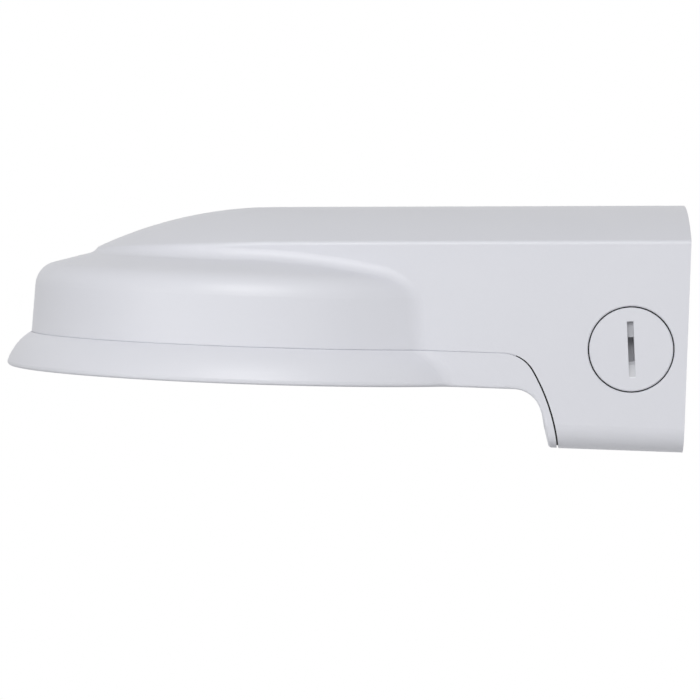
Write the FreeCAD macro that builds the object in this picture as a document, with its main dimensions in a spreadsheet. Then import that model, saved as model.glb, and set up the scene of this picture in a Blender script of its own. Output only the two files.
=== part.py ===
import FreeCAD, Part
import Sketcher
import math
import os
import re

# A die-cast wall bracket for a dome camera. Its arm runs out from the wall along -X to a round dish, and a
# lower cover closes the dish, the arm and the front of the wall box from below. Z is up. The origin is the
# middle of the face that meets the wall, and the plug with the coin slot is on the -Y side. In the outlines
# below, heights are measured from the seam between the two castings.

vector = FreeCAD.Vector
doc = FreeCAD.newDocument("camera_wall_bracket")
sheet = doc.addObject("Spreadsheet::Sheet", "sizes")

# Driving dimensions, in millimetres and degrees.
SIZES = {
    # the arm and the wall box
    "reach": "138.4",
    "arm_width": "108.4",
    "seam_drop": "9",
    "box_drop": "30",
    "corner_round": "8",
    "edge_rise": "37.3",
    "crown_rise": "11.1",
    "crown_setback": "3.6",
    "top_fall": "5",
    "cast_wall": "3",
    "wall_plate": "3.6",
    # the dish
    "dish_radius": "75.6",
    "dish_draft": "2.9",
    "dish_shoulder": "21.3",
    "dish_rise": "5.8",
    "shoulder_round": "8",
    "tip_blend": "4",
    "side_blend": "8",
    "crown_edge": "1.5",
    # the seam, which drops in two arcs down the front of the wall box
    "seam_run": "17.25",
    "seam_round": "11",
    "seam_turn": "58",
    "seam_sweep": "62",
    "seam_gap": "0.25",
    "slit_gap": "0.3",
    # the lower cover
    "rim_radius": "83.6",
    "rim_drop": "11.4",
    "skirt_curve": "18",
    "skirt_wall": "2.6",
    "skirt_blend": "5",
    "seat_depth": "3.6",
    "lip_wall": "2.6",
    "cove_round": "9",
    "lip_foot": "0.1",
    "edge_round": "1.2",
    "core_setback": "2",
    # what holds the cover
    "post_inset": "10.5",
    "post_radius": "4.6",
    "post_hole_depth": "13",
    "screw_boss_height": "3",
    "screw_boss_wall": "2",
    "screw_radius": "2",
    "screw_gap": "0.12",
    "screw_length": "13",
    "screw_head_radius": "3.8",
    "screw_head_height": "2.4",
    "head_gap": "0.2",
    "screw_socket": "1.5",
    "washer_radius": "4.5",
    "washer_height": "0.8",
    "keeper_section": "1.5",
    "keeper_gap": "0.1",
    # the side outlet and its plug
    "plug_radius": "13.22",
    "plug_gap": "0.45",
    "plug_length": "11",
    "plug_inset": "17.65",
    "plug_height": "2.45",
    "plug_bevel": "0.35",
    "boss_radius": "17",
    "boss_length": "13",
    "slot_length": "17.8",
    "slot_width": "2.05",
    "slot_ramp": "4",
    "slot_depth": "1.6",
    "slot_lean": "4.5",
    "slot_well_length": "7.7",
    "slot_well_depth": "6",
    "slot_well_step": "0.1",
    "ring_section": "1.8",
    "ring_depth": "3",
    # the wall face
    "entry_radius": "19",
    "wall_hole_width": "5.5",
    "wall_hole_length": "9",
    "wall_hole_spread": "76",
    "wall_hole_rise": "44",
    "seal_inset": "2.6",
    "seal_width": "2.6",
    "seal_depth": "2",
    "seal_play": "0.15",
    # the seal between the castings
    "joint_seal_inset": "0.9",
    "joint_seal_width": "1.2",
    "joint_seal_depth": "1.2",
    # the cable way and the camera's screw holes in the cover
    "cable_radius": "22",
    "collar_wall": "3",
    "collar_height": "4",
    "wide_circle": "120",
    "narrow_circle": "84",
    "camera_hole": "1.75",
    "camera_boss": "4.5",
    "web_width": "2",
}
for row, (alias, value) in enumerate(SIZES.items(), 1):
    sheet.set("A%d" % row, alias.replace("_", " "))
    sheet.set("B%d" % row, value)
    sheet.setAlias("B%d" % row, alias)
doc.recompute()


def words(text):
    """A formula in the words of the sheet, as the document reads it."""
    return re.sub(r"[a-z_]+", lambda m: "sizes." + m.group() if m.group() in SIZES else m.group(), text)


def number(text):
    """What a formula comes to now."""
    return float(sheet.evalExpression(words(text)))


# Drawing

def sketch_on(body, name, plane, at=("0", "0", "0"), tilt=None):
    """An empty sketch on one of the body's origin planes, moved and turned within it by formulas."""
    sketch = body.newObject("Sketcher::SketchObject", name)
    support = [o for o in body.Origin.OriginFeatures if o.Role == plane][0]
    sketch.AttachmentSupport = (support, [""])
    sketch.MapMode = "FlatFace"
    if tilt:
        axis, angle = tilt
        turned = FreeCAD.Rotation(vector(*axis), number(angle))
        sketch.AttachmentOffset = FreeCAD.Placement(vector(0, 0, 0), turned)
        sketch.setExpression("AttachmentOffset.Rotation.Angle", words(angle))
    for part, formula in zip("xyz", at):
        if formula != "0":
            sketch.setExpression("AttachmentOffset.Base." + part, words(formula))
    return sketch


def fix_point(sketch, shape, end, x, y):
    """Hold one end of a line or arc at the place that two formulas give."""
    for kind, formula in (("DistanceX", x), ("DistanceY", y)):
        index = sketch.addConstraint(Sketcher.Constraint(kind, -1, 1, shape, end, number(formula)))
        sketch.setExpression("Constraints[%d]" % index, words(formula))


def outline(sketch, corners):
    """A closed outline. Each corner is x and y; a radius after them makes an arc to the next corner, which
    turns left, or right where the word right follows."""
    points = [vector(number(c[0]), number(c[1]), 0) for c in corners]
    ends = []
    for i, corner in enumerate(corners):
        start, stop = points[i], points[(i + 1) % len(points)]
        if len(corner) == 2:
            shape = sketch.addGeometry(Part.LineSegment(start, stop))
            ends.append((shape, 1, 2))
        else:
            radius = number(corner[2])
            chord = stop - start
            rise = math.sqrt(max(radius ** 2 - chord.Length ** 2 / 4, 0))
            left = vector(-chord.y, chord.x, 0).normalize()
            right_turn = len(corner) == 4
            centre = (start + stop) / 2 + left * (-rise if right_turn else rise)
            first, last = (stop, start) if right_turn else (start, stop)
            circle = Part.Circle(centre, vector(0, 0, 1), radius)
            angles = [math.atan2(p.y - centre.y, p.x - centre.x) for p in (first, last)]
            shape = sketch.addGeometry(Part.ArcOfCircle(circle, angles[0], angles[1]))
            index = sketch.addConstraint(Sketcher.Constraint("Radius", shape, radius))
            sketch.setExpression("Constraints[%d]" % index, words(corner[2]))
            ends.append((shape, 2, 1) if right_turn else (shape, 1, 2))
    for i, (shape, start, stop) in enumerate(ends):
        following, next_start, _ = ends[(i + 1) % len(ends)]
        sketch.addConstraint(Sketcher.Constraint("Coincident", shape, stop, following, next_start))
        fix_point(sketch, shape, start, corners[i][0], corners[i][1])
    return sketch


def circle(sketch, x, y, radius):
    """A full circle in a sketch."""
    shape = sketch.addGeometry(Part.Circle(vector(number(x), number(y), 0), vector(0, 0, 1), number(radius)))
    fix_point(sketch, shape, 3, x, y)
    index = sketch.addConstraint(Sketcher.Constraint("Radius", shape, number(radius)))
    sketch.setExpression("Constraints[%d]" % index, words(radius))
    return sketch


def new_body(name):
    return doc.addObject("PartDesign::Body", name)


def pad(body, sketch, length, both_sides=False, reverse=False):
    feature = body.newObject("PartDesign::Pad", sketch.Name + "_pad")
    feature.Profile = sketch
    feature.SideType = "Symmetric" if both_sides else "One side"
    feature.Reversed = reverse
    feature.setExpression("Length", words(length))
    doc.recompute()
    return feature


def pocket(body, sketch, length, both_sides=False, reverse=False):
    before = body.Shape.Volume
    feature = body.newObject("PartDesign::Pocket", sketch.Name + "_pocket")
    feature.Profile = sketch
    feature.SideType = "Symmetric" if both_sides else "One side"
    feature.Reversed = reverse
    feature.setExpression("Length", words(length))
    doc.recompute()
    if body.Shape.Volume > before - 0.01:
        raise RuntimeError(feature.Name + " cuts nothing")
    return feature


def turn(body, sketch, cut=False, half=False):
    """The sketch turned about its own upright axis, as a solid or as a cut, all round or over half a turn."""
    before = body.Shape.Volume if cut else 0
    feature = body.newObject("PartDesign::Groove" if cut else "PartDesign::Revolution", sketch.Name + "_turn")
    feature.Profile = sketch
    feature.ReferenceAxis = (sketch, ["V_Axis"])
    feature.Angle = 180 if half else 360
    feature.Midplane = half
    doc.recompute()
    if cut and body.Shape.Volume > before - 0.01:
        raise RuntimeError(feature.Name + " cuts nothing")
    return feature


def fillet(body, base, name, radius, picks):
    """Round the edges of the feature base that the test picks accepts."""
    feature = body.newObject("PartDesign::Fillet", name)
    chosen = ["Edge%d" % i for i, edge in enumerate(base.Shape.Edges, 1) if picks(edge)]
    if not chosen:
        raise RuntimeError(name + " finds no edge")
    feature.Base = (base, chosen)
    feature.setExpression("Radius", words(radius))
    doc.recompute()
    return feature


def rounded(name, base, radii):
    """Round the edges of the feature base to which the function radii gives a radius at each end."""
    feature = doc.addObject("Part::Fillet", name)
    feature.Base = base
    chosen = []
    for i, edge in enumerate(base.Shape.Edges, 1):
        ends = None if edge.Degenerated else radii(edge, base.Shape.ancestorsOfType(edge, Part.Face))
        if ends:
            chosen.append((i,) + ends)
    if not chosen:
        raise RuntimeError(name + " finds no edge")
    feature.Edges = chosen
    doc.recompute()
    return feature


def combine(kind, name, shapes):
    """A boolean of whole shapes: MultiFuse or MultiCommon of a list, or Cut of a pair."""
    feature = doc.addObject("Part::" + kind, name)
    if kind == "Cut":
        feature.Base, feature.Tool = shapes
    else:
        feature.Shapes = shapes
    doc.recompute()
    return feature


def cylinder(name, radius, height, at, direction=(0, 0, 1)):
    """A round bar from a point along a direction."""
    feature = doc.addObject("Part::Cylinder", name)
    turned = FreeCAD.Rotation(vector(0, 0, 1), vector(*direction))
    feature.Placement = FreeCAD.Placement(vector(0, 0, 0), turned)
    feature.setExpression("Radius", words(radius))
    feature.setExpression("Height", words(height))
    for part, formula in zip("xyz", at):
        feature.setExpression("Placement.Base." + part, words(formula))
    doc.recompute()
    return feature


def ring(name, outside, inside, height, at, direction=(0, 0, 1)):
    """A flat ring with a square section."""
    whole = cylinder(name + "_outside", outside, height, at, direction)
    bore = cylinder(name + "_inside", inside, height, at, direction)
    return combine("Cut", name, (whole, bore))


# Shapes that several pieces share

TALL = "edge_rise + crown_rise + cast_wall * 4"
HALF = "arm_width / 2"
CROWN = "((arm_width^2 / 4 + crown_rise^2) / (2 * crown_rise))"
CROWN_CENTRE = "(reach - crown_setback)"
TOP_SLOPE = "atan(top_fall / %s)" % CROWN_CENTRE
BEND = "(reach - sqrt(rim_radius^2 - arm_width^2 / 4) - seam_run)"


def seam_corners(drop="0", shift="0", foot="0"):
    """The side view of the seam from the dish's axis to the foot of the wall box: level, then two arcs that
    turn downwards. drop moves it into the cover, shift moves its arcs away from the wall and foot cuts it
    short of the box's underside."""
    bend = "(-%s - %s)" % (BEND, shift)
    small = "(seam_round - %s)" % drop
    large = "(seam_sweep - %s)" % drop
    centre_x = "(%s - (seam_sweep - seam_round) * sin(seam_turn))" % bend
    centre_z = "(-seam_round - (seam_sweep - seam_round) * cos(seam_turn))"
    foot_z = "(-box_drop + %s)" % foot
    turn_x = "%s + %s * sin(seam_turn)" % (bend, small)
    turn_z = "-seam_round + %s * cos(seam_turn)" % small
    return [
        ("-reach", "-" + drop),
        (bend, "-" + drop, small, "right"),
        (turn_x, turn_z, large, "right"),
        ("%s + sqrt(%s^2 - (%s - %s)^2)" % (centre_x, large, foot_z, centre_z), foot_z),
    ]


def on_circle(edge, radius):
    """Whether the middle of an edge lies at a radius from the dish's axis."""
    middle = edge.valueAt((edge.FirstParameter + edge.LastParameter) / 2)
    return abs(math.hypot(middle.x + number("reach"), middle.y) - radius) < 0.05


def bottom_side_edge(edge, half_width, bottom):
    """Whether an edge runs along the arm where a side meets the underside of the wall box."""
    box = edge.BoundBox
    level = box.ZLength < 0.01 and abs(box.ZMin - bottom) < 0.01
    return level and box.YLength < 0.01 and abs(abs(box.YMin) - half_width) < 0.01 and box.XLength > 1


def envelope(name, inset, back="0", drop="0"):
    """The whole of the upper casting as a solid form, set in from its outside by a distance: the dish, the
    arm with its rounded front and the wall box, before its top is cut to the crown. back is where it stops
    short of the wall and drop is how far it reaches below the seam."""
    body = new_body(name)
    dish = sketch_on(body, name + "_dish", "XZ_Plane", ("-reach", "-seam_drop", "0"))
    half = "(arm_width / 2 - %s)" % inset
    edge = "(dish_radius - %s - tan(dish_draft) * dish_shoulder)" % inset
    shoulder = "(dish_shoulder - %s)" % inset
    outline(dish, [
        ("0", "-" + drop),
        ("dish_radius - " + inset, "-" + drop),
        (edge, shoulder),
        (half, shoulder + " + dish_rise"),
        (half, TALL),
        ("0", TALL),
    ])
    last = turn(body, dish)
    rim = number("-seam_drop + " + shoulder)
    round_radius = number(edge)
    last = fillet(body, last, name + "_shoulder", "shoulder_round - " + inset,
                  lambda e: on_circle(e, round_radius) and abs(e.BoundBox.ZMax - rim) < 0.01)
    side = sketch_on(body, name + "_side", "XZ_Plane", ("0", "-seam_drop", "0"))
    outline(side, seam_corners(drop, "0", inset) + [
        ("-" + back, "-box_drop + " + inset),
        ("-" + back, TALL),
        ("-reach", TALL),
    ])
    last = pad(body, side, "arm_width - 2 * " + inset, both_sides=True)
    half_width = number(half)
    bottom = number("-seam_drop - box_drop + " + inset)
    fillet(body, last, name + "_corners", "corner_round - " + inset,
           lambda e: bottom_side_edge(e, half_width, bottom))
    return body


def blend_radii(edge, _faces):
    """The blend's radius at the two ends of an edge where the dish runs into the arm, or None for any other
    edge. It is small round the arm's front and along its sides, and grows down the dish's shoulder."""
    box = edge.BoundBox
    half_width = number(HALF)
    high = number("-seam_drop + dish_shoulder + dish_radius - arm_width / 2")
    if box.ZMax > high or box.ZMax < number("-seam_drop") + 1:
        return None
    if box.ZLength < 0.01 and on_circle(edge, half_width):
        return number("tip_blend"), number("tip_blend")
    if not in_side(edge, half_width) or box.XMax > number("-reach + dish_radius"):
        return None
    heights = [edge.valueAt(t).z for t in (edge.FirstParameter, edge.LastParameter)]
    if min(heights) < number("-seam_drop") + 1:
        return number("side_blend"), number("side_blend")
    if min(heights) > number("-seam_drop + dish_shoulder"):
        return number("tip_blend"), number("tip_blend")
    ends = number("side_blend"), number("tip_blend")
    return ends if heights[0] < heights[1] else ends[::-1]


def crown_cutter(name, inset):
    """What is cut from the arm's top to leave its crown: a round rise across the arm that slopes down towards
    the front, and the same rise turned about an upright axis over the arm's front."""
    body = new_body(name)
    height = "edge_rise - seam_drop - " + inset
    over = "(crown_rise + cast_wall * 8)"
    across = sketch_on(body, name + "_across", "YZ_Plane",
                       ("0", "%s + crown_rise * tan(%s)" % (height, TOP_SLOPE), "crown_rise"),
                       ((-1, 0, 0), TOP_SLOPE))
    outline(across, [
        (HALF, "0", CROWN),
        ("0", "crown_rise", CROWN),
        ("-" + HALF, "0"),
        ("-arm_width", "0"),
        ("-arm_width", over),
        ("arm_width", over),
        ("arm_width", "0"),
    ])
    pad(body, across, "(%s + crown_rise) / cos(%s)" % (CROWN_CENTRE, TOP_SLOPE), reverse=True)
    front = sketch_on(body, name + "_front", "XZ_Plane",
                      ("-" + CROWN_CENTRE, height + " - top_fall", "0"),
                      ((0, 0, 1), TOP_SLOPE))
    end = "(arm_width / 2 + crown_setback + 1)"
    end_height = "crown_rise - %s + sqrt(%s^2 - %s^2)" % (CROWN, CROWN, end)
    outline(front, [
        ("0", "crown_rise", CROWN),
        ("-" + end, end_height),
        ("-arm_width", end_height),
        ("-arm_width", over),
        ("0", over),
    ])
    turn(body, front, half=True)
    return body


def top_radii(edge, faces):
    """The radius at the two ends of an edge that bounds the crown along the arm's sides or round its front,
    or None for any other edge."""
    on_crown = [abs(getattr(face.Surface, "Radius", 0) - number(CROWN)) < 0.01 for face in faces]
    middle = edge.valueAt((edge.FirstParameter + edge.LastParameter) / 2)
    if on_crown.count(True) == 1 and middle.x < -1:
        return number("crown_edge"), number("crown_edge")
    return None


def wall_outline(sketch, inset):
    """The outline of the wall face, set in by a distance: rounded corners below and the crown above."""
    half = "(arm_width / 2 - %s)" % inset
    arc = "(%s - %s)" % (CROWN, inset)
    top = "edge_rise + crown_rise - %s + sqrt(%s^2 - %s^2)" % (CROWN, arc, half)
    corner = "(corner_round - %s)" % inset
    bottom = "(-box_drop + %s)" % inset
    outline(sketch, [
        (half, top, arc),
        ("-" + half, top),
        ("-" + half, "-box_drop + corner_round", corner),
        ("-(arm_width / 2 - corner_round)", bottom),
        ("arm_width / 2 - corner_round", bottom, corner),
        (half, "-box_drop + corner_round"),
    ])


def slot_outline(sketch, x, y, length, width):
    """A slot with round ends that runs along the first direction of its sketch."""
    end = "(%s - %s) / 2" % (length, width)
    radius = "%s / 2" % width
    outline(sketch, [
        ("%s - %s" % (x, end), "%s - %s" % (y, radius)),
        ("%s + %s" % (x, end), "%s - %s" % (y, radius), radius),
        ("%s + %s + %s" % (x, end, radius), y, radius),
        ("%s + %s" % (x, end), "%s + %s" % (y, radius)),
        ("%s - %s" % (x, end), "%s + %s" % (y, radius), radius),
        ("%s - %s - %s" % (x, end, radius), y, radius),
    ])


def backwards(corners):
    """The same corners in the other order, with each arc kept between its own two corners."""
    turned = []
    for i in range(len(corners) - 1, -1, -1):
        before = corners[i - 1] if i else ()
        turned.append(corners[i][:2] + (before[2:3] if len(before) > 2 else ()))
    return turned


def in_side(edge, half_width):
    """Whether an edge lies in one of the arm's two side faces."""
    box = edge.BoundBox
    return box.YLength < 0.02 and abs(abs(box.YMin) - half_width) < 0.01


def lower_edge(edge, half_width, rim):
    """Whether an edge belongs to the cover's lower outline on one of its sides, or to the skirt's rim."""
    box = edge.BoundBox
    along_side = in_side(edge, half_width) and box.ZMax < rim + 0.01
    level = box.ZLength < 0.02 and abs(box.ZMax - rim) < 0.02
    return along_side or level and on_circle(edge, number("rim_radius"))


def group(name, features):
    """Separate solids kept together as one piece of the list."""
    feature = doc.addObject("Part::Compound", name)
    feature.Links = features
    doc.recompute()
    return feature


def keep(feature, node):
    """Name a finished piece."""
    feature.Label = node
    finished.append(feature)
    return feature


finished = []
POSTS = [(1, 1), (1, -1), (-1, 1), (-1, -1)]
POST_FOOT = "(screw_boss_height - seam_gap)"
UNDER_WASHER = "(head_gap + screw_head_height - seat_depth)"


def post_place(side_x, side_y, height):
    """Where a post stands: its place about the dish's axis and a height above the seam."""
    spread = "(dish_radius - post_inset) * sqrt(0.5)"
    return ("-reach + %d * %s" % (side_x, spread), "%d * %s" % (side_y, spread), height + " - seam_drop")


# The upper casting: a shell that is open below, with the wall plate across its back, four posts for the
# cover's screws and a thick ring round the side outlet

outer_crown = crown_cutter("outer_crown", "0")
blended = rounded("blended_form", envelope("outer_form", "0"), blend_radii)
crowned = combine("Cut", "crowned_form", (blended, outer_crown))
outer = rounded("outer_form_rounded", crowned, top_radii)
hollow = combine("Cut", "hollow_space", (envelope("hollow_form", "cast_wall", back="wall_plate", drop="1"),
                                         crown_cutter("hollow_crown", "cast_wall")))
shell = combine("Cut", "shell", (outer, hollow))

bosses = [cylinder("post_%d" % i, "post_radius", TALL, post_place(*side, POST_FOOT))
          for i, side in enumerate(POSTS, 1)]
outlet = ("-plug_inset", "-arm_width / 2", "plug_height - seam_drop")
bosses.append(cylinder("outlet_boss", "boss_radius", "boss_length", outlet, (0, 1, 0)))
boss_group = combine("MultiFuse", "boss_group", bosses)
reach_form = combine("Cut", "reach_space", (envelope("reach_form", "0", drop="seam_gap"), outer_crown))
trimmed = combine("MultiCommon", "trimmed_bosses", [boss_group, reach_form])
cast = combine("MultiFuse", "cast", [shell, trimmed])

holes = [cylinder("post_hole_%d" % i, "screw_radius + screw_gap", "post_hole_depth",
                  post_place(*side, POST_FOOT)) for i, side in enumerate(POSTS, 1)]
holes += [cylinder("keeper_seat_%d" % i, "screw_radius + keeper_section + keeper_gap",
                   "keeper_section + keeper_gap", post_place(*side, POST_FOOT))
          for i, side in enumerate(POSTS, 1)]
holes.append(cylinder("outlet_hole", "plug_radius + plug_gap", "boss_length + 2 * cast_wall",
                      ("-plug_inset", "-arm_width / 2 - cast_wall", "plug_height - seam_drop"), (0, 1, 0)))
mouth = doc.addObject("Part::Cone", "outlet_mouth")
mouth.Placement = FreeCAD.Placement(vector(0, 0, 0), FreeCAD.Rotation(vector(0, 0, 1), vector(0, 1, 0)))
for prop, formula in (("Radius1", "plug_radius + plug_gap + plug_bevel"), ("Radius2", "plug_radius + plug_gap"),
                      ("Height", "plug_bevel"), ("Placement.Base.x", outlet[0]),
                      ("Placement.Base.y", outlet[1]), ("Placement.Base.z", outlet[2])):
    mouth.setExpression(prop, words(formula))
holes.append(mouth)
wall_cuts = new_body("wall_cuts")
wall_sketch = sketch_on(wall_cuts, "wall_hole_outlines", "YZ_Plane", ("0", "0", "-2 * wall_plate"))
circle(wall_sketch, "0", "0", "entry_radius")
for side_y, side_z in POSTS:
    slot_outline(wall_sketch, "%d * wall_hole_spread / 2" % side_y, "%d * wall_hole_rise / 2" % side_z,
                 "wall_hole_length", "wall_hole_width")
pad(wall_cuts, wall_sketch, "3 * wall_plate")
holes.append(wall_cuts)
seal_groove = new_body("wall_seal_groove")
groove_sketch = sketch_on(seal_groove, "wall_groove_outline", "YZ_Plane", ("0", "-seam_drop", "-seal_depth"))
wall_outline(groove_sketch, "seal_inset")
wall_outline(groove_sketch, "(seal_inset + seal_width)")
pad(seal_groove, groove_sketch, "seal_depth")
holes.append(seal_groove)
hole_group = combine("MultiFuse", "hole_group", holes)
bracket = keep(combine("Cut", "bracket", (cast, hole_group)), "bracket_body")

# The lower cover: a round seat for the camera inside a flared skirt, sides that carry on the arm's own
# sides, and a lip that closes the front of the wall box

cover = new_body("cover_form")
skirt = sketch_on(cover, "skirt_outline", "XZ_Plane", ("-reach", "-seam_drop", "0"))
outline(skirt, [
    ("0", "-rim_drop"),
    ("rim_radius", "-rim_drop", "skirt_curve"),
    ("dish_radius + seam_gap", "-seam_gap"),
    ("0", "-seam_gap"),
])
turn(cover, skirt)
large = "(seam_sweep - seam_gap - lip_wall)"
centre_x = "(-%s - slit_gap - (seam_sweep - seam_round) * sin(seam_turn))" % BEND
centre_z = "(-seam_round - (seam_sweep - seam_round) * cos(seam_turn))"
cove_z = "(-rim_drop - cove_round)"
cove_x = "(%s + sqrt((%s - cove_round)^2 - (%s - %s)^2))" % (centre_x, large, cove_z, centre_z)
share = "%s / (%s - cove_round)" % (large, large)
foot_z = "(-box_drop + lip_foot)"
cover_side = sketch_on(cover, "cover_side", "XZ_Plane", ("0", "-seam_drop", "0"))
outline(cover_side, seam_corners("seam_gap", "slit_gap", "lip_foot") + [
    ("%s + sqrt(%s^2 - (%s - %s)^2)" % (centre_x, large, foot_z, centre_z), foot_z, large),
    ("%s + (%s - %s) * %s" % (centre_x, cove_x, centre_x, share),
     "%s + (%s - %s) * %s" % (centre_z, cove_z, centre_z, share), "cove_round"),
    (cove_x, "-rim_drop"),
    ("-reach", "-rim_drop"),
])
last = pad(cover, cover_side, "arm_width", both_sides=True)
half_width = number(HALF)
foot = number("-seam_drop + " + foot_z)
last = fillet(cover, last, "foot_corners", "corner_round - lip_foot", lambda e: in_side(e, half_width)
              and e.BoundBox.ZLength < 0.01 and abs(e.BoundBox.ZMin - foot) < 0.01)
rim = number("-seam_drop - rim_drop")
last = fillet(cover, last, "skirt_blends", "skirt_blend", lambda e: in_side(e, half_width)
              and e.BoundBox.XMax < number("-reach + rim_radius") and e.BoundBox.ZLength > 1)
seat = sketch_on(cover, "seat_outline", "XZ_Plane", ("-reach", "-seam_drop", "0"))
outline(seat, [
    ("0", "-rim_drop - seat_depth"),
    ("rim_radius - skirt_wall", "-rim_drop - seat_depth"),
    ("rim_radius - skirt_wall", "-rim_drop"),
    ("dish_radius - cast_wall", "-seat_depth"),
    ("0", "-seat_depth"),
])
turn(cover, seat, cut=True)
core = sketch_on(cover, "core_outline", "XZ_Plane", ("0", "-seam_drop", "0"))
core_radius = "(cove_round + cast_wall)"
core_start = "-(%s - core_setback)" % BEND
outline(core, [
    (core_start, "cast_wall"),
    (core_start, "-rim_drop + cast_wall"),
    (cove_x, "-rim_drop + cast_wall", core_radius, "right"),
    ("%s + %s * sin(seam_turn)" % (cove_x, core_radius), "%s + %s * cos(seam_turn)" % (cove_z, core_radius)),
    ("%s + %s * sin(seam_turn)" % (cove_x, core_radius), "cast_wall"),
])
last = pocket(cover, core, "arm_width - 2 * cast_wall", both_sides=True)
last = fillet(cover, last, "lower_edges", "edge_round", lambda e: lower_edge(e, half_width, rim))

# The seal between the castings follows the middle of the wall all round, in a groove of the cover

ring_outside = envelope("ring_outside", "joint_seal_inset", drop="cast_wall")
ring_inside = envelope("ring_inside", "(joint_seal_inset + joint_seal_width)", drop="cast_wall")
ring_block = combine("Cut", "ring_block", (ring_outside, ring_inside))
seam_layer = new_body("seam_layer")
layer = sketch_on(seam_layer, "layer_outline", "XZ_Plane", ("0", "-seam_drop", "0"))
front = "-reach - dish_radius"
depth = "(seam_gap + joint_seal_depth)"
outline(layer, [(front, "0")] + seam_corners() + backwards(seam_corners(depth)) + [(front, "-" + depth)])
pad(seam_layer, layer, "arm_width + dish_radius", both_sides=True)
keep(combine("MultiCommon", "ring_in_layer", [ring_block, seam_layer]), "joint_seal")

# What the cover carries on its upper side: a collar round the cable way, bosses for the camera's screws, webs
# between them, and a boss round the recess of each of its own screws

plate_top = "-seam_gap - cast_wall / 2"
raised = [cylinder("collar", "cable_radius + collar_wall", "collar_height + cast_wall / 2",
                   ("-reach", "0", plate_top + " - seam_drop"))]
camera_holes = []


def camera_screws(name, pattern, count, first_angle):
    """A circle of screw holes for the camera, each with a boss on the upper side of the plate."""
    for i in range(count):
        angle = "(%d + %d * 360 / %d)" % (first_angle, i, count)
        x = "-reach + %s / 2 * cos%s" % (pattern, angle)
        y = "%s / 2 * sin%s" % (pattern, angle)
        raised.append(cylinder("%s_boss_%d" % (name, i + 1), "camera_boss", "collar_height + cast_wall / 2",
                               (x, y, plate_top + " - seam_drop")))
        camera_holes.append(cylinder("%s_hole_%d" % (name, i + 1), "camera_hole",
                                     "seat_depth + collar_height + cast_wall",
                                     (x, y, "-seat_depth - cast_wall / 2 - seam_drop")))


camera_screws("wide", "wide_circle", 4, 0)
camera_screws("narrow", "narrow_circle", 3, 60)
for i in range(4):
    web = doc.addObject("Part::Box", "web_%d" % (i + 1))
    turned_by = FreeCAD.Rotation(vector(0, 0, 1), 90 * i)
    web.Placement = FreeCAD.Placement(vector(0, 0, 0), turned_by)
    for prop, formula in (("Length", "wide_circle / 2"), ("Width", "web_width"),
                          ("Height", "collar_height * 0.75 + cast_wall / 2"),
                          ("Placement.Base.x", "-reach + web_width / 2 * sin(%d)" % (90 * i)),
                          ("Placement.Base.y", "-web_width / 2 * cos(%d)" % (90 * i)),
                          ("Placement.Base.z", plate_top + " - seam_drop")):
        web.setExpression(prop, words(formula))
    raised.append(web)
raised += [cylinder("screw_boss_%d" % i, "washer_radius + head_gap + screw_boss_wall",
                    "screw_boss_height + cast_wall / 2", post_place(*side, plate_top))
           for i, side in enumerate(POSTS, 1)]
filled = combine("MultiFuse", "filled_cover", [cover] + raised)
openings = camera_holes + [cylinder("cable_hole", "cable_radius", "seat_depth + collar_height + cast_wall",
                                    ("-reach", "0", "-seat_depth - cast_wall / 2 - seam_drop"))]
openings += [cylinder("screw_way_%d" % i, "screw_radius + 2 * screw_gap", "seat_depth + screw_boss_height",
                      post_place(*side, "-seat_depth")) for i, side in enumerate(POSTS, 1)]
openings += [cylinder("screw_recess_%d" % i, "washer_radius + head_gap",
                      "head_gap + screw_head_height + washer_height + cast_wall",
                      post_place(*side, "-seat_depth - cast_wall")) for i, side in enumerate(POSTS, 1)]
openings.append(finished[-1])
opening_group = combine("MultiFuse", "opening_group", openings)
keep(combine("Cut", "finished_cover", (filled, opening_group)), "lower_cover")

# The screws that hold the cover come up through it into the posts. Each head and its washer sit in a recess,
# clear of the camera's base, and a rubber keeper stops the screw falling out when the cover comes off

screws = []
washers = []
keepers = []
for i, side in enumerate(POSTS, 1):
    foot_place = post_place(*side, "head_gap - seat_depth")
    shank = cylinder("shank_%d" % i, "screw_radius", "screw_length", post_place(*side, UNDER_WASHER))
    head = cylinder("head_%d" % i, "screw_head_radius", "screw_head_height", foot_place)
    socket = doc.addObject("Part::Prism", "socket_%d" % i)
    socket.Polygon = 6
    socket.setExpression("Circumradius", words("screw_socket"))
    socket.setExpression("Height", words("screw_head_height * 0.6"))
    for part, formula in zip("xyz", foot_place):
        socket.setExpression("Placement.Base." + part, words(formula))
    solid = combine("MultiFuse", "screw_form_%d" % i, [shank, head])
    screws.append(combine("Cut", "screw_%d" % i, (solid, socket)))
    washers.append(ring("washer_%d" % i, "washer_radius", "screw_radius + screw_gap", "washer_height",
                        post_place(*side, UNDER_WASHER)))
    keepers.append(ring("keeper_%d" % i, "screw_radius + keeper_section", "screw_radius", "keeper_section",
                        post_place(*side, POST_FOOT)))
keep(group("screw_group", screws), "cover_screws")
keep(group("washer_group", washers), "cover_screw_washers")
keep(group("keeper_group", keepers), "cover_screw_keepers")

# The threaded plug in the side outlet, flush with the arm's side, with a slot for a coin and a sealing ring

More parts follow.
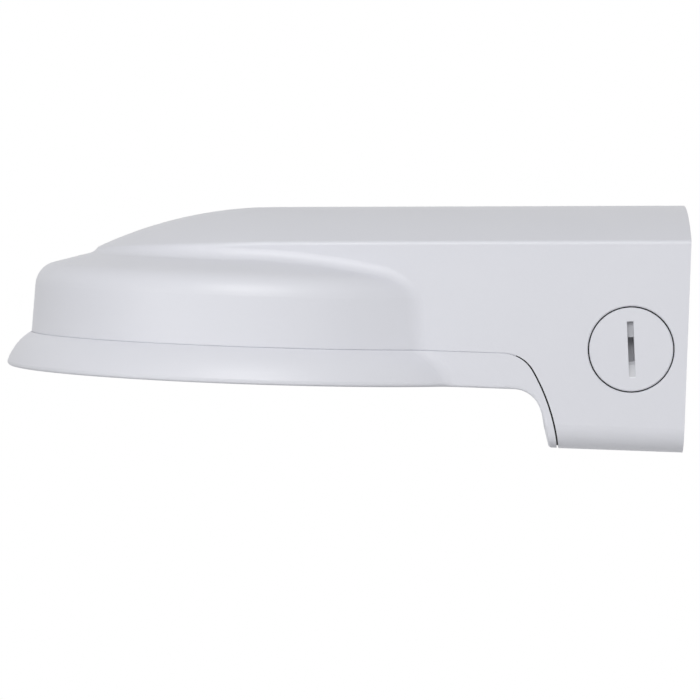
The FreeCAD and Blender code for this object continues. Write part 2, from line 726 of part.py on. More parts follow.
plug = new_body("plug_form")
plug_sketch = sketch_on(plug, "plug_outline", "XY_Plane", outlet)
groove_radius = "(plug_radius + plug_gap - ring_section)"
groove_half = "ring_section * 0.6"
outline(plug_sketch, [
    ("0", "0"),
    ("plug_radius - plug_bevel", "0"),
    ("plug_radius", "plug_bevel"),
    ("plug_radius", "ring_depth - " + groove_half),
    (groove_radius, "ring_depth - " + groove_half),
    (groove_radius, "ring_depth + " + groove_half),
    ("plug_radius", "ring_depth + " + groove_half),
    ("plug_radius", "plug_length"),
    ("0", "plug_length"),
])
turn(plug, plug_sketch)
coin_slot = sketch_on(plug, "coin_slot", "YZ_Plane", ("-arm_width / 2", outlet[2], outlet[0]),
                      ((-1, 0, 0), "slot_lean"))
outline(coin_slot, [
    ("0", "-slot_length / 2"),
    ("slot_depth", "slot_ramp - slot_length / 2"),
    ("slot_depth", "slot_length / 2"),
    ("0", "slot_length / 2"),
])
pocket(plug, coin_slot, "slot_width", both_sides=True)
slot_well = sketch_on(plug, "slot_well", "XZ_Plane", (outlet[0], outlet[2], "arm_width / 2"),
                      ((0, 0, 1), "90 + slot_lean"))
well = ("slot_well_length / 2", "slot_width / 2 - slot_well_step")
outline(slot_well, [("-" + well[0], "-(%s)" % well[1]), (well[0], "-(%s)" % well[1]), well,
                    ("-" + well[0], well[1])])
pocket(plug, slot_well, "slot_well_depth")
keep(plug, "side_plug")
ring_place = (outlet[0], outlet[1] + " + ring_depth - ring_section / 2", outlet[2])
keep(ring("plug_ring", "plug_radius + plug_gap", groove_radius, "ring_section", ring_place, (0, 1, 0)),
     "side_plug_seal")

# The seal that lies in the groove of the wall face

wall_seal = new_body("wall_seal_form")
wall_seal_sketch = sketch_on(wall_seal, "wall_seal_outline", "YZ_Plane", ("0", "-seam_drop", "-seal_depth"))
wall_outline(wall_seal_sketch, "(seal_inset + seal_play)")
wall_outline(wall_seal_sketch, "(seal_inset + seal_width - seal_play)")
pad(wall_seal, wall_seal_sketch, "seal_depth")
keep(wall_seal, "wall_seal")

doc.recompute()
for feature in doc.Objects:
    if {"Invalid", "Error"} & set(feature.State):
        raise RuntimeError(feature.Name + " has failed: " + ", ".join(feature.State))
for feature in finished:
    if feature.Shape.isNull() or not feature.Shape.isValid():
        raise RuntimeError(feature.Label + " has no sound shape")
os.makedirs("parts", exist_ok=True)
for feature in finished:
    feature.Shape.exportStep("parts/%s.step" % feature.Label)
    box = feature.Shape.BoundBox
    print("%-20s %d solids, %.0f mm3, x %.1f to %.1f, y %.1f to %.1f, z %.1f to %.1f" % (
        feature.Label, len(feature.Shape.Solids), feature.Shape.Volume,
        box.XMin, box.XMax, box.YMin, box.YMax, box.ZMin, box.ZMax))
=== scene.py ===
# %% [markdown]
# # A camera wall bracket in powder-coated aluminium
#
# The bracket comes in as solids at their real size: two castings, a threaded plug, four screws and the
# rubber seals. The solids give the shape. This lesson gives them their finish, adds the threads and the
# other small turned detail that is too fine for the solids, and sets up the camera and the light. All
# lengths are in metres, and the bracket's own directions are used: it is fixed to the wall at +X, its arm
# runs along -X and Z is up.

# %% Load the solids
import math
import bpy
from mathutils import Matrix, Vector


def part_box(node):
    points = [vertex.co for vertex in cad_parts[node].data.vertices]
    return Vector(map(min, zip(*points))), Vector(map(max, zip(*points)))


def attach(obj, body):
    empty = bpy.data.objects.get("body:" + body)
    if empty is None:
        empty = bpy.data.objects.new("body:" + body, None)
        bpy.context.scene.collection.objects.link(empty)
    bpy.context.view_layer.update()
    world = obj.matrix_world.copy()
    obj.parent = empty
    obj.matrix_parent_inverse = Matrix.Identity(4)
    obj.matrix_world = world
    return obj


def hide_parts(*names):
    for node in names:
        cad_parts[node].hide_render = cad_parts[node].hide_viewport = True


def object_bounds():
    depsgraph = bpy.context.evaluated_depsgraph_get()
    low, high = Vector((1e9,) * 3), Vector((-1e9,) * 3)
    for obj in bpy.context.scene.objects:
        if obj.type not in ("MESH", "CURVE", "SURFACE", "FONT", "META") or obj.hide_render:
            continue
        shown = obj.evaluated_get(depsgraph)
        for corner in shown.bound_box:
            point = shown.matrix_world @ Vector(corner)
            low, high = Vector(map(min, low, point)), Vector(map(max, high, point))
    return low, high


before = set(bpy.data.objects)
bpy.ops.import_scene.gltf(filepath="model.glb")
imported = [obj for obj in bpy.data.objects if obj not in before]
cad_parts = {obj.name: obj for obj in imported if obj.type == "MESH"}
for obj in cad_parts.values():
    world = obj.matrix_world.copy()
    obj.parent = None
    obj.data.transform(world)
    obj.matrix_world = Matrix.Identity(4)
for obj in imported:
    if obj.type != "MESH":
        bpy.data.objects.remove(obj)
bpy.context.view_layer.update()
print("solids:", sorted(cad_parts))

# %% [markdown]
# ## The camera
#
# The photograph shows the bracket from its side and a little from above, through a long lens: its long
# edges hardly converge. A camera was fitted to those edges, and its place and its turns are used here.
# Blender's own camera looks along its local -Z with +Y up. So the three directions of the view are worked
# out first and written as the columns of a matrix, which is safer than three Euler angles, whose order is
# easy to mix up.

# %% Camera at the photograph's viewing angle
SENSOR_MM = 36
FRAME_PIXELS = 700
FOCAL_PIXELS = 3500
CAMERA_PLACE = Vector((-0.0631, -1.1590, 0.0367))
CAMERA_YAW = math.radians(-2.24)
CAMERA_TILT = math.radians(2.41)
CAMERA_ROLL = math.radians(1.94)


def view_directions(yaw, tilt, roll):
    """Right, up and backwards for a camera that looks along +Y when all three turns are nought."""
    ahead = Vector((math.sin(yaw) * math.cos(tilt), math.cos(yaw) * math.cos(tilt), -math.sin(tilt)))
    level = Vector((math.cos(yaw), -math.sin(yaw), 0))
    down = ahead.cross(level)
    right = math.cos(roll) * level - math.sin(roll) * down
    up = -(math.sin(roll) * level + math.cos(roll) * down)
    return right, up, -ahead


def turned_to(place, directions):
    """The matrix of an object at a place, with its own axes along three given directions."""
    return Matrix.Translation(place) @ Matrix(directions).transposed().to_4x4()


def add_to_scene(name, data):
    """A new object with this data, linked to the scene."""
    made = bpy.data.objects.new(name, data)
    bpy.context.scene.collection.objects.link(made)
    return made


camera_data = bpy.data.cameras.new("camera")
camera_data.sensor_width = SENSOR_MM
camera_data.lens = SENSOR_MM * FOCAL_PIXELS / FRAME_PIXELS
camera = add_to_scene("camera", camera_data)
camera.matrix_world = turned_to(CAMERA_PLACE, view_directions(CAMERA_YAW, CAMERA_TILT, CAMERA_ROLL))
bpy.context.scene.camera = camera
print("lens: %.0f mm" % camera_data.lens)

# %% [markdown]
# ## Writing node maths as Python
#
# A procedural finish is mostly arithmetic on numbers that vary over the surface. Built node by node it is
# hard to read, so a small class wraps a socket and overloads the operators. An expression such as
# `1 - mask * 0.5` then adds its own Math nodes. The same class serves Geometry Nodes, where a size is such a
# number. Colours go through Mix nodes, because a Math node would turn them grey.

# %% A socket that can be added, multiplied and divided
class Value:
    """The output socket of a node, with arithmetic that adds Math nodes to the same tree."""

    def __init__(self, tree, socket):
        self.tree = tree
        self.socket = socket

    def math(self, operation, *terms):
        return self.tree.node("ShaderNodeMath", {"operation": operation}, dict(enumerate(terms)))

    def __add__(self, other):
        return self.math("ADD", self, other)

    __radd__ = __add__

    def __sub__(self, other):
        return self.math("SUBTRACT", self, other)

    def __rsub__(self, other):
        return self.math("SUBTRACT", other, self)

    def __mul__(self, other):
        return self.math("MULTIPLY", self, other)

    __rmul__ = __mul__

    def __truediv__(self, other):
        return self.math("DIVIDE", self, other)

    def __rtruediv__(self, other):
        return self.math("DIVIDE", other, self)


class Tree:
    """A node tree whose nodes are added by their type, settings and socket values."""

    def __init__(self, nodes):
        self.nodes = nodes

    def node(self, kind, settings=None, inputs=None, output=0):
        """Adds one node. Its settings come first, because they can change which sockets it has. A list of
        values goes to a socket that takes several links."""
        made = self.nodes.nodes.new(kind)
        for name, setting in (settings or {}).items():
            setattr(made, name, setting)
        for name, given in (inputs or {}).items():
            links = given if isinstance(given, list) else [given]
            if isinstance(links[0], Value):
                for link in links:
                    self.nodes.links.new(link.socket, made.inputs[name])
            else:
                made.inputs[name].default_value = given
        return Value(self, made.outputs[output])

    def parts(self, vector):
        """The X, Y and Z of a vector, as three numbers."""
        return [self.node("ShaderNodeSeparateXYZ", {}, {"Vector": vector}, output=axis) for axis in "XYZ"]

    def vector(self, **parts):
        """A vector put together from its X, Y and Z. A part that isn't given is nought."""
        return self.node("ShaderNodeCombineXYZ", {}, parts)


print("node maths is ready")

# %% [markdown]
# ## Writing a shader
#
# A real finish is colour, roughness and small waves in the surface, and each of them varies a little. The
# helpers here make those variations from noise. The noise is read from the piece's own coordinates in
# metres, so a wave has its real length on every piece, whatever the piece's size.

# %% Shaders
NOISE_MIDDLE = 0.5


class Shader(Tree):
    """A new material or world."""

    def __init__(self, name, kind="materials"):
        self.made = getattr(bpy.data, kind).new(name)
        self.made.use_nodes = True
        self.made.node_tree.nodes.clear()
        self.kind = kind
        super().__init__(self.made.node_tree)

    def place(self):
        """Where on the piece a point lies, in metres along the piece's own axes."""
        return self.node("ShaderNodeTexCoord", output="Object")

    def noise(self, grain, detail=2.0, stretch=(1, 1, 1)):
        """Soft random values round NOISE_MIDDLE, with patches about one grain across, in metres."""
        scaled = self.node("ShaderNodeMapping", {}, {"Vector": self.place(), "Scale": stretch})
        return self.node("ShaderNodeTexNoise", {}, {"Vector": scaled, "Scale": 1 / grain, "Detail": detail})

    def mix_colours(self, share, first, second):
        """The colour between two colours, at a share that may vary over the surface. The numbers name the
        sockets of a Mix node that is set to colours."""
        return self.node("ShaderNodeMix", {"data_type": "RGBA"}, {0: share, 6: first, 7: second}, output=2)

    def bump(self, height, depth, over=None):
        """A surface raised by height times depth, in metres, over another bump or over the plain surface."""
        inputs = {"Height": height, "Distance": depth}
        if over:
            inputs["Normal"] = over
        return self.node("ShaderNodeBump", {}, inputs)

    def principled(self, **inputs):
        """The main surface node. Underscores in the names stand for spaces."""
        named = {name.replace("_", " "): given for name, given in inputs.items()}
        return self.node("ShaderNodeBsdfPrincipled", {}, named)

    def mix_surfaces(self, share, first, second):
        """The first surface where share is nought, the second where it is one."""
        return self.node("ShaderNodeMixShader", {}, {0: share, 1: first, 2: second})

    def seen_directly(self):
        """One for what the camera, a reflection or a clear piece sees, and nought for the light that
        surfaces throw on each other."""
        rays = [self.node("ShaderNodeLightPath", output=ray)
                for ray in ("Is Camera Ray", "Is Glossy Ray", "Is Transmission Ray")]
        return rays[0].math("MAXIMUM", rays[0], rays[1].math("MAXIMUM", rays[1], rays[2]))

    def finish(self, surface):
        """Joins the surface to the output, and gives the finished material or world."""
        output = "ShaderNodeOutputWorld" if self.kind == "worlds" else "ShaderNodeOutputMaterial"
        self.nodes.links.new(surface.socket, self.nodes.nodes.new(output).inputs["Surface"])
        return self.made


def linear(red, green, blue):
    """A colour given by its screen values from 0 to 255, as the light it stands for."""
    def channel(level):
        share = level / 255
        return share / 12.92 if share <= 0.04045 else ((share + 0.055) / 1.055) ** 2.4
    return (channel(red), channel(green), channel(blue), 1.0)


print("shader helpers are ready")

# %% [markdown]
# ## The powder coat
#
# The castings are sprayed with a pale satin powder and baked. The coat flows before it sets, so it has no
# brush marks, only a very shallow orange peel with waves a millimetre or two long, and a finer grain on top
# of it. It is a little rougher where the powder lay thicker. The colour is nearly even: it drifts by a
# percent or so over some centimetres. All of that comes from noise at three sizes, read from the piece's
# own coordinates. The bottom of the plug's coin slot lies in shade, and that shade is painted into the
# colour as a grey: three soft limits, one along each axis, mark where the painted shade lies.
#
# The lower edge of the real cover is crisper than the rounding of its solid. A mesh that came with the
# frame is never changed, so the cover's coat only turns the shading of that rounding towards the side.

# %% Powder coat for the castings and the plug
COAT_PALE = linear(225, 226, 232)
COAT_DEEP = linear(220, 221, 228)
SLOT_SHADE_GREY = linear(190, 191, 196)
CASTING_ROUGHNESS = 0.42
PLUG_ROUGHNESS = 0.40
COAT_IOR = 1.5
PEEL_WAVE = 0.0016
PEEL_DEPTH = 0.00002
PEEL_GRAIN = 0.0004
GRAIN_DEPTH = 0.000004
GRAIN_SHARE = 0.2
GRAIN_ROUGHNESS = 0.08
DRIFT_WAVE = 0.05
DRIFT_SHARE = 0.8
DRIFT_ROUGHNESS = 0.1
RIM_EDGE = 0.3
HOLLOW_SOFT = 0.0001
SLOT_REACH = Vector((0.0026, 0.0078, 0.0092))
SLOT_SKIN = 0.00015


def sharpened(shader, keep):
    """The surface's direction with its downward part cut to a share. A rounding between a side and the
    underside then takes the light as the side does, nearly up to the underside, as a tight edge would."""
    x, y, z = shader.parts(shader.node("ShaderNodeNewGeometry", output="Normal"))
    upward = z.math("MAXIMUM", z, 0.0)
    downward = z.math("MINIMUM", z, 0.0)
    turned = shader.vector(X=x, Y=y, Z=upward + downward * keep)
    return shader.node("ShaderNodeVectorMath", {"operation": "NORMALIZE"}, {0: turned})


def between(shader, value, middle, reach, soft):
    """One where a value lies within a reach of a middle, falling softly to nought outside it."""
    away = shader.node("ShaderNodeMath", {"operation": "ABSOLUTE"}, {0: value - middle})
    return shader.node("ShaderNodeMapRange", {"interpolation_type": "SMOOTHSTEP"}, {
        "Value": away, "From Min": reach, "From Max": reach + soft, "To Min": 1.0, "To Max": 0.0})


def powder_coat(name, roughness, edge=1.0, hollow=None):
    """A baked satin powder coat. An edge under one sharpens the look of the roundings that face down. A
    hollow is a box, given by its middle and its reach along each axis, where shade is painted in as a grey."""
    shader = Shader(name)
    drift = shader.noise(DRIFT_WAVE)
    peel = shader.noise(PEEL_WAVE, detail=1.0)
    grain = shader.noise(PEEL_GRAIN, detail=1.0)
    colour = shader.mix_colours(drift * DRIFT_SHARE + grain * GRAIN_SHARE, COAT_PALE, COAT_DEEP)
    # Painted shade: the bottom of the coin slot is coloured grey for the shade that lies in it.
    if hollow:
        in_slot_shade = [between(shader, value, middle, reach, HOLLOW_SOFT)
                  for value, middle, reach in zip(shader.parts(shader.place()), *hollow)]
        colour = shader.mix_colours(in_slot_shade[0] * in_slot_shade[1] * in_slot_shade[2], colour, SLOT_SHADE_GREY)
    wave = shader.bump(peel, PEEL_DEPTH, over=sharpened(shader, edge) if edge < 1 else None)
    rough = roughness + (drift - NOISE_MIDDLE) * DRIFT_ROUGHNESS + (grain - NOISE_MIDDLE) * GRAIN_ROUGHNESS
    surface = shader.principled(Base_Color=colour, Roughness=rough, IOR=COAT_IOR,
                                Normal=shader.bump(grain, GRAIN_DEPTH, over=wave))
    return shader.finish(surface)


body_coat = powder_coat("powder coat of the bracket", CASTING_ROUGHNESS)
cover_coat = powder_coat("powder coat of the cover", CASTING_ROUGHNESS, edge=RIM_EDGE)
plug_low, plug_high = (Vector(corner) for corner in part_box("side_plug"))
plug_middle = (plug_low + plug_high) / 2
slot_middle = Vector((plug_middle.x, plug_low.y + SLOT_SKIN + SLOT_REACH.y, plug_middle.z))
plug_coat = powder_coat("powder coat of the plug", PLUG_ROUGHNESS, hollow=(slot_middle, SLOT_REACH))
print("powder coats:", body_coat.name, "/", cover_coat.name, "/", plug_coat.name)

# %% [markdown]
# ## Rubber and steel
#
# The seals are moulded in black rubber. New rubber isn't quite even: a pale bloom comes to its surface in
# soft patches, and the mould leaves a fine grain. The screws and washers are bare stainless steel. Turning
# leaves fine rings on them, so their noise is stretched across and stays fine upwards, along the axis.

# %% Rubber and steel
RUBBER_BLACK = linear(20, 20, 22)
RUBBER_BLOOM = linear(34, 34, 36)
RUBBER_ROUGHNESS = 0.72
RUBBER_IOR = 1.45
BLOOM_WAVE = 0.01
BLOOM_SHARE = 0.6
MOULD_GRAIN = 0.0003
MOULD_DEPTH = 0.00003
MOULD_SHARE = 0.4
MOULD_ROUGHNESS = 0.2
STEEL_BRIGHT = linear(196, 195, 192)
STEEL_DULL = linear(176, 175, 173)
STEEL_ROUGHNESS = 0.3
STAIN_WAVE = 0.004
RING_WAVE = 0.0002
RING_STRETCH = (0.05, 0.05, 1)
RING_DEPTH = 0.000004
RING_ROUGHNESS = 0.2


def moulded_rubber(name):
    """Matt black rubber with the fine grain of its mould and a soft bloom."""
    shader = Shader(name)
    grain = shader.noise(MOULD_GRAIN, detail=3.0)
    bloom = shader.noise(BLOOM_WAVE)
    colour = shader.mix_colours(bloom * BLOOM_SHARE + grain * MOULD_SHARE, RUBBER_BLACK, RUBBER_BLOOM)
    rough = RUBBER_ROUGHNESS + (grain - NOISE_MIDDLE) * MOULD_ROUGHNESS
    surface = shader.principled(Base_Color=colour, Roughness=rough, IOR=RUBBER_IOR,
                                Normal=shader.bump(grain, MOULD_DEPTH))
    return shader.finish(surface)


def turned_steel(name):
    """Plain stainless steel with the fine rings that turning leaves round an upright axis."""
    shader = Shader(name)
    rings = shader.noise(RING_WAVE, detail=1.0, stretch=RING_STRETCH)
    colour = shader.mix_colours(shader.noise(STAIN_WAVE), STEEL_BRIGHT, STEEL_DULL)
    rough = STEEL_ROUGHNESS + (rings - NOISE_MIDDLE) * RING_ROUGHNESS
    surface = shader.principled(Base_Color=colour, Metallic=1.0, Roughness=rough,
                                Normal=shader.bump(rings, RING_DEPTH))
    return shader.finish(surface)


rubber = moulded_rubber("moulded black rubber")
steel = turned_steel("turned stainless steel")
FINISHES = {
    "bracket_body": body_coat, "lower_cover": cover_coat, "side_plug": plug_coat,
    "joint_seal": rubber, "wall_seal": rubber, "side_plug_seal": rubber, "cover_screw_keepers": rubber,
    "cover_screws": steel, "cover_screw_washers": steel,
}
for node, finish in FINISHES.items():
    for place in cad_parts[node].material_slots:
        place.material = finish
print("finished:", sorted(FINISHES))

# %% [markdown]
# ## Small pieces grown by Geometry Nodes
#
# A thread is a ridge wound round a bar, and four equal screws stand round the dish's axis. Such shapes
# follow a rule, so a Geometry Nodes tree grows them: its inputs are the real sizes, and one tree serves
# every thread. The tree ends by making its copies real and giving them their finish. Its result is then
# taken as a plain mesh, because only plain meshes leave the scene whole. The points of the mesh are moved to
# their place, so the object itself stays at the origin.

# %% Growing a piece
SHARP_FROM = 0.6
THREAD_STEPS = 24
THREAD_SIDES = 3


class Shape(Tree):
    """A Geometry Nodes tree. Its named inputs are sizes in metres, or whole numbers."""

    def __init__(self, name, sizes, grows_from_path=False):
        self.group = bpy.data.node_groups.new(name, "GeometryNodeTree")
        super().__init__(self.group)
        self.group.interface.new_socket("Geometry", in_out="OUTPUT", socket_type="NodeSocketGeometry")
        if grows_from_path:
            self.group.interface.new_socket("Path", in_out="INPUT", socket_type="NodeSocketGeometry")
        for size, usual in sizes.items():
            kind = "NodeSocketInt" if isinstance(usual, int) else "NodeSocketFloat"
            self.group.interface.new_socket(size, in_out="INPUT", socket_type=kind).default_value = usual
        given = self.group.nodes.new("NodeGroupInput")
        self.given = {socket.name: Value(self, socket) for socket in given.outputs if socket.name}

    def moved(self, geometry, **parts):
        return self.node("GeometryNodeTransform", {}, {"Geometry": geometry, **parts})

    def tube(self, path, profile):
        return self.node("GeometryNodeCurveToMesh", {}, {
            "Curve": path, "Profile Curve": profile, "Fill Caps": True})

    def bar(self, sides, radius, height, segments=1):
        """A straight bar that stands on the ground plane."""
        made = self.node("GeometryNodeMeshCylinder", {}, {
            "Vertices": sides, "Side Segments": segments, "Radius": radius, "Depth": height})
        return self.moved(made, Translation=self.vector(Z=height * 0.5))

    def ridge(self, radius, pitch, length, depth):
        """A ridge with a three-sided section that winds upwards round the upright axis."""
        helix = self.node("GeometryNodeCurveSpiral", {}, {
            "Resolution": THREAD_STEPS, "Rotations": length / pitch, "Start Radius": radius,
            "End Radius": radius, "Height": length})
        section = self.node("GeometryNodeCurvePrimitiveCircle", {}, {
            "Resolution": THREAD_SIDES, "Radius": depth})
        return self.tube(helix, section)

    def on_a_ring(self, geometry, count, radius, first=0.0):
        """Copies of a piece at even steps on a circle, from a first angle on."""
        angle = self.node("GeometryNodeInputIndex") * (math.tau / count) + first
        place = self.vector(X=angle.math("COSINE", angle) * radius, Y=angle.math("SINE", angle) * radius)
        points = self.node("GeometryNodePoints", {}, {"Count": count, "Position": place})
        return self.node("GeometryNodeInstanceOnPoints", {}, {"Points": points, "Instance": geometry})

    def joined(self, *parts):
        return self.node("GeometryNodeJoinGeometry", {}, {"Geometry": list(parts)})

    def finish(self, geometry, finish):
        """Makes the copies real, shades them smoothly but for edges that turn by more than SHARP_FROM
        radians, and ends the tree."""
        real = self.node("GeometryNodeRealizeInstances", {}, {"Geometry": geometry})
        smooth = self.node("GeometryNodeSetShadeSmooth", {"domain": "FACE"}, {"Geometry": real})
        turn = self.node("GeometryNodeInputMeshEdgeAngle")
        sharp = self.node("FunctionNodeCompare", {"operation": "GREATER_THAN"}, {0: turn, 1: SHARP_FROM})
        creased = self.node("GeometryNodeSetShadeSmooth", {"domain": "EDGE"},
                            {"Geometry": smooth, "Selection": sharp, "Shade Smooth": False})
        coated = self.node("GeometryNodeSetMaterial", {}, {"Geometry": creased, "Material": finish})
        output = self.group.nodes.new("NodeGroupOutput")
        self.group.links.new(coated.socket, output.inputs["Geometry"])
        return self


def grown(name, shape, sizes, place, path=None):
    """The piece that a tree grows with these sizes, as a plain mesh with its place in its mesh. A size that
    isn't given is the tree's own."""
    piece = add_to_scene(name, path or bpy.data.meshes.new(name))
    modifier = piece.modifiers.new("shape", "NODES")
    modifier.node_group = shape.group
    for socket in shape.group.interface.items_tree:
        if socket.in_out == "INPUT" and socket.name in sizes:
            modifier[socket.identifier] = sizes[socket.name]
    depsgraph = bpy.context.evaluated_depsgraph_get()
    made = bpy.data.meshes.new_from_object(piece.evaluated_get(depsgraph), depsgraph=depsgraph)
    piece.modifiers.remove(modifier)
    piece.data = made
    made.transform(place)
    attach(piece, "root")
    print("%s: %d faces" % (name, len(made.polygons)))
    return piece


# %% [markdown]
# The cover is held by four low-headed screws with a hexagon socket, put in from below. A head is a bar in
# short stretches. Its lowest ring of points is drawn in for the small bevel, fine ribs stand round its rim,
# and the socket is cut out with a six-sided bar. The screws' own solids already say how long they are and
# where they stand: on the diagonals of the box round them all, so the ring through them follows from it.

# %% Socket screws that hold the cover
HEAD_RADIUS = 0.0038
HEAD_HEIGHT = 0.0024
HEAD_SIDES = 48
HEAD_SEGMENTS = 8
FACE_WITHIN = 0.0001
SOCKET_SIDES = 6
SOCKET_DEPTH_SHARE = 0.6
RIB_SIDES = 6
RIB_FROM_SHARE = 0.2
RIB_HEIGHT_SHARE = 0.7
SHANK_SIDES = 32
FIRST_SCREW_ANGLE = math.pi / 4
screws_low, screws_high = (Vector(corner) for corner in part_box("cover_screws"))
dish_axis = (screws_low + screws_high) / 2
screws = Shape("socket screws", {
    "Head radius": HEAD_RADIUS,
    "Head height": HEAD_HEIGHT,
    "Bevel": 0.00025,
    "Ribs": 36,
    "Rib radius": 0.00014,
    "Socket radius": 0.0015,
    "Shank radius": 0.002,
    "Pitch": 0.0007,
    "Thread depth": 0.0003,
    "Length": screws_high.z - screws_low.z - HEAD_HEIGHT,
    "Count": 4,
    "Ring radius": ((screws_high.x - screws_low.x) / 2 - HEAD_RADIUS) * math.sqrt(2),
})
size = screws.given
rim = size["Head radius"] - size["Rib radius"]
head = screws.bar(HEAD_SIDES, rim, size["Head height"], HEAD_SEGMENTS)
point = screws.node("GeometryNodeInputPosition")
at_face = screws.node("FunctionNodeCompare", {"operation": "LESS_THAN"}, {
    0: screws.parts(point)[2], 1: FACE_WITHIN})
drawn_in = 1 - size["Bevel"] / size["Head radius"]
bevelled = screws.node("GeometryNodeSetPosition", {}, {
    "Geometry": head, "Selection": at_face,
    "Position": screws.node("ShaderNodeVectorMath", {"operation": "MULTIPLY"}, {
        0: point, 1: screws.vector(X=drawn_in, Y=drawn_in, Z=1.0)})})
key = screws.node("GeometryNodeMeshCylinder", {}, {
    "Vertices": SOCKET_SIDES, "Radius": size["Socket radius"],
    "Depth": size["Head height"] * (2 * SOCKET_DEPTH_SHARE)})
cut = screws.node("GeometryNodeMeshBoolean", {"operation": "DIFFERENCE"}, {
    "Mesh 1": bevelled, "Mesh 2": key})
rib = screws.moved(screws.bar(RIB_SIDES, size["Rib radius"], size["Head height"] * RIB_HEIGHT_SHARE),
                   Translation=screws.vector(Z=size["Head height"] * RIB_FROM_SHARE))
ribs = screws.on_a_ring(rib, size["Ribs"], rim)
core = size["Shank radius"] - size["Thread depth"]
thread = screws.ridge(core, size["Pitch"], size["Length"] - size["Pitch"], size["Thread depth"])
shank = screws.joined(screws.bar(SHANK_SIDES, core, size["Length"]), thread)
one = screws.joined(cut, ribs, screws.moved(shank, Translation=screws.vector(Z=size["Head height"])))
screws.finish(screws.on_a_ring(one, size["Count"], size["Ring radius"], FIRST_SCREW_ANGLE), steel)

seat = Matrix.Translation((dish_axis.x, dish_axis.y, screws_low.z))
socket_screws = grown("socket_screws", screws, {}, seat)
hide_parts("cover_screws")

# %% [markdown]
# The plug is screwed into the outlet and the camera's holes are tapped, and in the solids both are plain.
# One tree winds all their threads: a ridge on the plug, and ridges on the walls of the holes. The tree's
# own sizes are only usual ones, and each thread is grown with its real sizes.

# %% Threads of the plug and of the camera's holes
threads = Shape("threads", {"Radius": 0.01, "Pitch": 0.001, "Length": 0.01, "Depth": 0.0002, "Count": 1,
                            "Ring radius": 0.0, "First angle": 0.0})
size = threads.given
wound = threads.ridge(size["Radius"], size["Pitch"], size["Length"], size["Depth"])
threads.finish(threads.on_a_ring(wound, size["Count"], size["Ring radius"], size["First angle"]), cover_coat)

PLUG_THREAD_FROM = 0.0046
PLUG_THREAD_TO = 0.0105
plug_thread = {"Radius": (plug_high.x - plug_low.x) / 2, "Pitch": 0.001814, "Depth": 0.00035,
               "Length": PLUG_THREAD_TO - PLUG_THREAD_FROM}
thread_start = Vector((plug_middle.x, plug_low.y + PLUG_THREAD_FROM, plug_middle.z))
inwards = Matrix.Translation(thread_start) @ Matrix.Rotation(-math.pi / 2, 4, "X")
grown("plug_thread", threads, plug_thread, inwards)

CAMERA_HOLES = {
    "wide_camera_threads": {"Count": 4, "Ring radius": 0.060, "First angle": 0.0},
    "narrow_camera_threads": {"Count": 3, "Ring radius": 0.042, "First angle": math.pi / 3},
}
for name, ring in CAMERA_HOLES.items():
    tapped = {"Radius": 0.00175, "Pitch": 0.0007, "Length": 0.0068, "Depth": 0.0002, **ring}
    grown(name, threads, tapped, seat)

# %% [markdown]
# Where the two castings meet round the dish and along the arm, the photograph shows only a faint grey line:
# a low land on the cover nearly fills the seam, a quarter of a millimetre behind the face. It follows the
# castings' outline, so it is a bar swept along a path. The path is straight along the arm, turns outwards
# round the blend and goes round the dish. Down the front of the wall box the seam is an open slit, and the
# land stops just after the seam begins to bend down. The bar is a fifth higher than the seam, so it meets
# both castings.

# %% Land in the seam
DISH_RADIUS = 0.0756
ARM_HALF_WIDTH = 0.0542
BLEND_RADIUS = 0.008
SEAM_TOP = -0.009
SEAM_GAP = 0.00025
LAND_DEPTH = 0.0005
LAND_HEIGHT = 0.0003
LAND_SETBACK = 0.00026
SEAM_BEND_FROM = -0.0575
SEAM_BEND_RADIUS = 0.011
LAND_BEND_RUN = 0.0036
BEND_STEPS = 6
ARC_STEP = math.radians(2)


def arc(centre, radius, start, stop):
    """Points on an arc about an upright axis, at even steps."""
    steps = max(2, round(abs(stop - start) / ARC_STEP))
    angles = [start + (stop - start) * i / steps for i in range(steps + 1)]
    return [Vector((centre.x + radius * math.cos(a), centre.y + radius * math.sin(a), 0)) for a in angles]


def seam_path(inset):
    """The castings' outline at the seam, set in from the face, from one end of the land to the other."""
    axis = Vector((dish_axis.x, 0, 0))
    blend_y = ARM_HALF_WIDTH + BLEND_RADIUS
    blend_x = math.sqrt((DISH_RADIUS + BLEND_RADIUS) ** 2 - blend_y ** 2)
    meet = math.atan2(blend_y, blend_x)
    blend = arc(Vector((axis.x + blend_x, blend_y, 0)), BLEND_RADIUS + inset, -math.pi / 2, meet - math.pi)
    dish = arc(axis, DISH_RADIUS - inset, meet, math.pi)
    runs = [LAND_BEND_RUN * i / BEND_STEPS for i in range(BEND_STEPS, -1, -1)]
    bend = [Vector((SEAM_BEND_FROM + run, ARM_HALF_WIDTH - inset,
                    math.sqrt(SEAM_BEND_RADIUS ** 2 - run ** 2) - SEAM_BEND_RADIUS)) for run in runs]
    half = bend + blend + dish[1:]
    other = [Vector((point.x, -point.y, point.z)) for point in reversed(half[:-1])]
    return half + other


land = Shape("land in the seam", {"Width": LAND_DEPTH, "Height": LAND_HEIGHT}, grows_from_path=True)
line = land.node("GeometryNodeMeshToCurve", {}, {"Mesh": land.given["Path"]})
upright = land.node("GeometryNodeSetCurveNormal", {"mode": "Z_UP"}, {"Curve": line})
section = land.node("GeometryNodeCurvePrimitiveQuadrilateral", {}, {
    "Width": land.given["Width"], "Height": land.given["Height"]})
land.finish(land.tube(upright, section), cover_coat)
corners = seam_path(LAND_SETBACK + LAND_DEPTH / 2)
path = bpy.data.meshes.new("seam path")
path.from_pydata(corners, [(i, i + 1) for i in range(len(corners) - 1)], [])
seam_middle = Matrix.Translation((0, 0, SEAM_TOP - SEAM_GAP / 2))
seam_land = grown("seam_land", land, {}, seam_middle, path)
heights = [corner.co.z for corner in seam_land.data.vertices]
print("land in the seam: %.2f mm high" % ((max(heights) - min(heights)) * 1000))

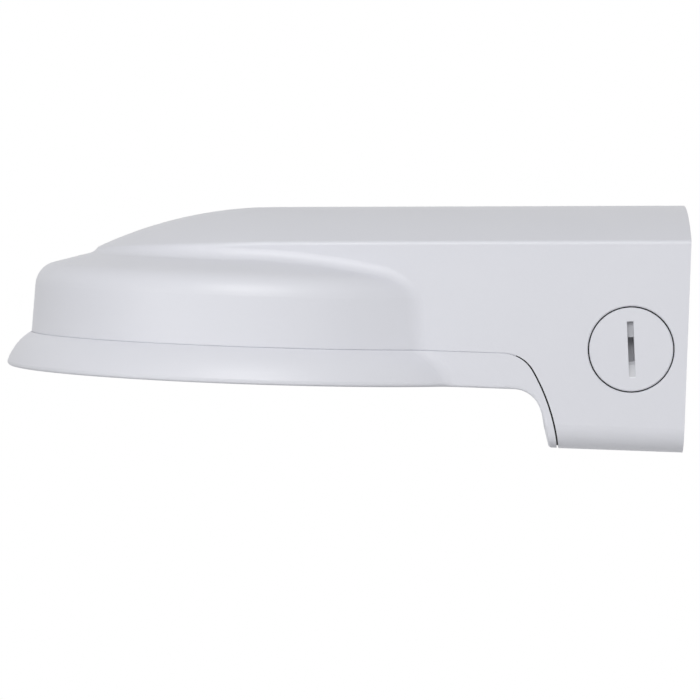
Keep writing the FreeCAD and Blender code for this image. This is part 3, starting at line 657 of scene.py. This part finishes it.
# %% [markdown]
# ## Light and background
#
# The photograph has soft light from all round, stronger from the camera's side and from the left, on plain
# white. A few large soft lamps stand round the bracket on a sphere. Each has a turn round the bracket and a
# rise, in degrees, and a power in watts. The one behind lights the far side only and throws no gloss on the
# top. The world fills the shadows. What the camera sees of the world is made white by its Light Path node
# alone, so the white adds no light to the bracket.

# %% Soft lamps round the bracket
WHITE = (1, 1, 1, 1)
LAMP_DISTANCE = 1.4
LAMP_SIZE = 0.9
LAMPS = [
    ("front", 5, 35, 10.3, True),
    ("left", 45, 5, 3.5, True),
    ("right", -80, 5, 2.9, True),
    ("behind", 180, -5, 5.0, False),
]
AMBIENT = 0.25
low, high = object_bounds()
middle = (low + high) / 2
for name, azimuth, elevation, power, shines in LAMPS:
    turn, rise = math.radians(azimuth), math.radians(elevation)
    outwards = Vector((-math.sin(turn) * math.cos(rise), -math.cos(turn) * math.cos(rise), math.sin(rise)))
    lamp_data = bpy.data.lights.new("lamp_" + name, "AREA")
    lamp_data.shape = "DISK"
    lamp_data.size = LAMP_SIZE
    lamp_data.energy = power
    lamp = add_to_scene("lamp_" + name, lamp_data)
    lamp.location = middle + outwards * LAMP_DISTANCE
    lamp.rotation_euler = outwards.to_track_quat("Z", "Y").to_euler()
    lamp.visible_camera = False
    lamp.visible_glossy = shines
print("lamps:", len(LAMPS))

# %% World that fills the shadows and looks white
def plain_background(shader, strength):
    """White light of one strength from all round."""
    return shader.node("ShaderNodeBackground", {}, {"Color": WHITE, "Strength": strength})


sky = Shader("white studio", "worlds")
bpy.context.scene.world = sky.finish(
    sky.mix_surfaces(sky.seen_directly(), plain_background(sky, AMBIENT), plain_background(sky, 1.0)))
print("ambient light:", AMBIENT)

# %% [markdown]
# The floor lies well below the bracket, as below something on a wall. It is a pale disc that throws light
# back up on the underside and takes the bracket's soft shadow. What is seen of it is mostly white light
# with a little of the lit surface left in, so the shadow stays. It fades out towards its edge, and from
# below it isn't there, so that the underside can be looked at.

# %% Pale floor
FLOOR_DROP = 0.25
FLOOR_RADIUS = 1.0
FLOOR_SIDES = 96
FLOOR_FADE_FROM = 0.45
FLOOR_PALE = (0.8, 0.8, 0.8, 1)
FLOOR_WHITE_SHARE = 0.7
floor_shader = Shader("pale floor")
lit = floor_shader.node("ShaderNodeBsdfDiffuse", {}, {"Color": FLOOR_PALE})
glow = floor_shader.node("ShaderNodeEmission", {}, {"Color": WHITE, "Strength": 1.0})
clear = floor_shader.node("ShaderNodeBsdfTransparent")
distance = floor_shader.node("ShaderNodeVectorMath", {"operation": "LENGTH"}, {0: floor_shader.place()},
                             output="Value")
fade = floor_shader.node("ShaderNodeMapRange", {"interpolation_type": "SMOOTHSTEP"},
                         {"Value": distance, "From Min": FLOOR_FADE_FROM, "From Max": FLOOR_RADIUS})
below = floor_shader.node("ShaderNodeNewGeometry", output="Backfacing")
seen = floor_shader.seen_directly()
whitened = floor_shader.mix_surfaces(seen * FLOOR_WHITE_SHARE, lit, glow)
hidden = seen * below.math("MAXIMUM", below, fade)
floor_finish = floor_shader.finish(floor_shader.mix_surfaces(hidden, whitened, clear))
bpy.ops.mesh.primitive_circle_add(vertices=FLOOR_SIDES, radius=FLOOR_RADIUS, fill_type="NGON",
                                  location=(middle.x, middle.y, low.z - FLOOR_DROP))
floor = bpy.context.object
floor.name = "floor"
floor.data.materials.append(floor_finish)
print("floor at %.3f m" % floor.location.z)

# %% [markdown]
# ## Colour view
#
# The Standard view shows a colour as it is written.

# %% Colour view
bpy.context.scene.view_settings.view_transform = "Standard"
